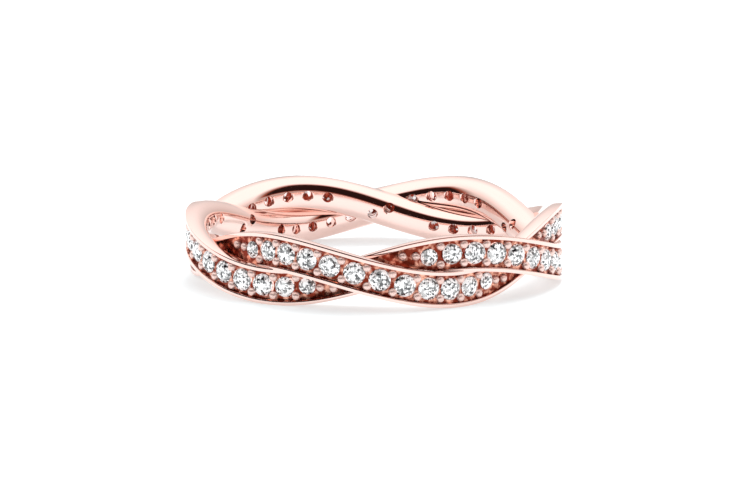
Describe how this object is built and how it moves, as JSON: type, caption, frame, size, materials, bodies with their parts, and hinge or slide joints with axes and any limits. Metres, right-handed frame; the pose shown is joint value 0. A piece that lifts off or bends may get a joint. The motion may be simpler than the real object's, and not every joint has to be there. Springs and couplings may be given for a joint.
{
  "type": "eternity ring",
  "caption": "Braided eternity ring: two flat rose gold strands wound round each other, their outer faces set with rows of small clear stones between thin rims.",
  "frame": {"origin": "on the ring's axis, at the plane that the ring lies on", "axes": "+Z along the ring's axis, away from the surface it lies on; -Y towards the front of the picture, where the strands cross"},
  "size_m": [0.0212, 0.022, 0.0039],
  "materials": {
    "rose_gold": "polished rose gold",
    "clear_stones": "faceted, clear"
  },
  "bodies": {
    "root": {"braided_band": "rose_gold", "pave_row_a1": "clear_stones", "pave_row_a2": "clear_stones", "pave_row_a3": "clear_stones", "pave_row_b1": "clear_stones", "pave_row_b2": "clear_stones", "pave_row_b3": "clear_stones"}
  },
  "joints": []
}
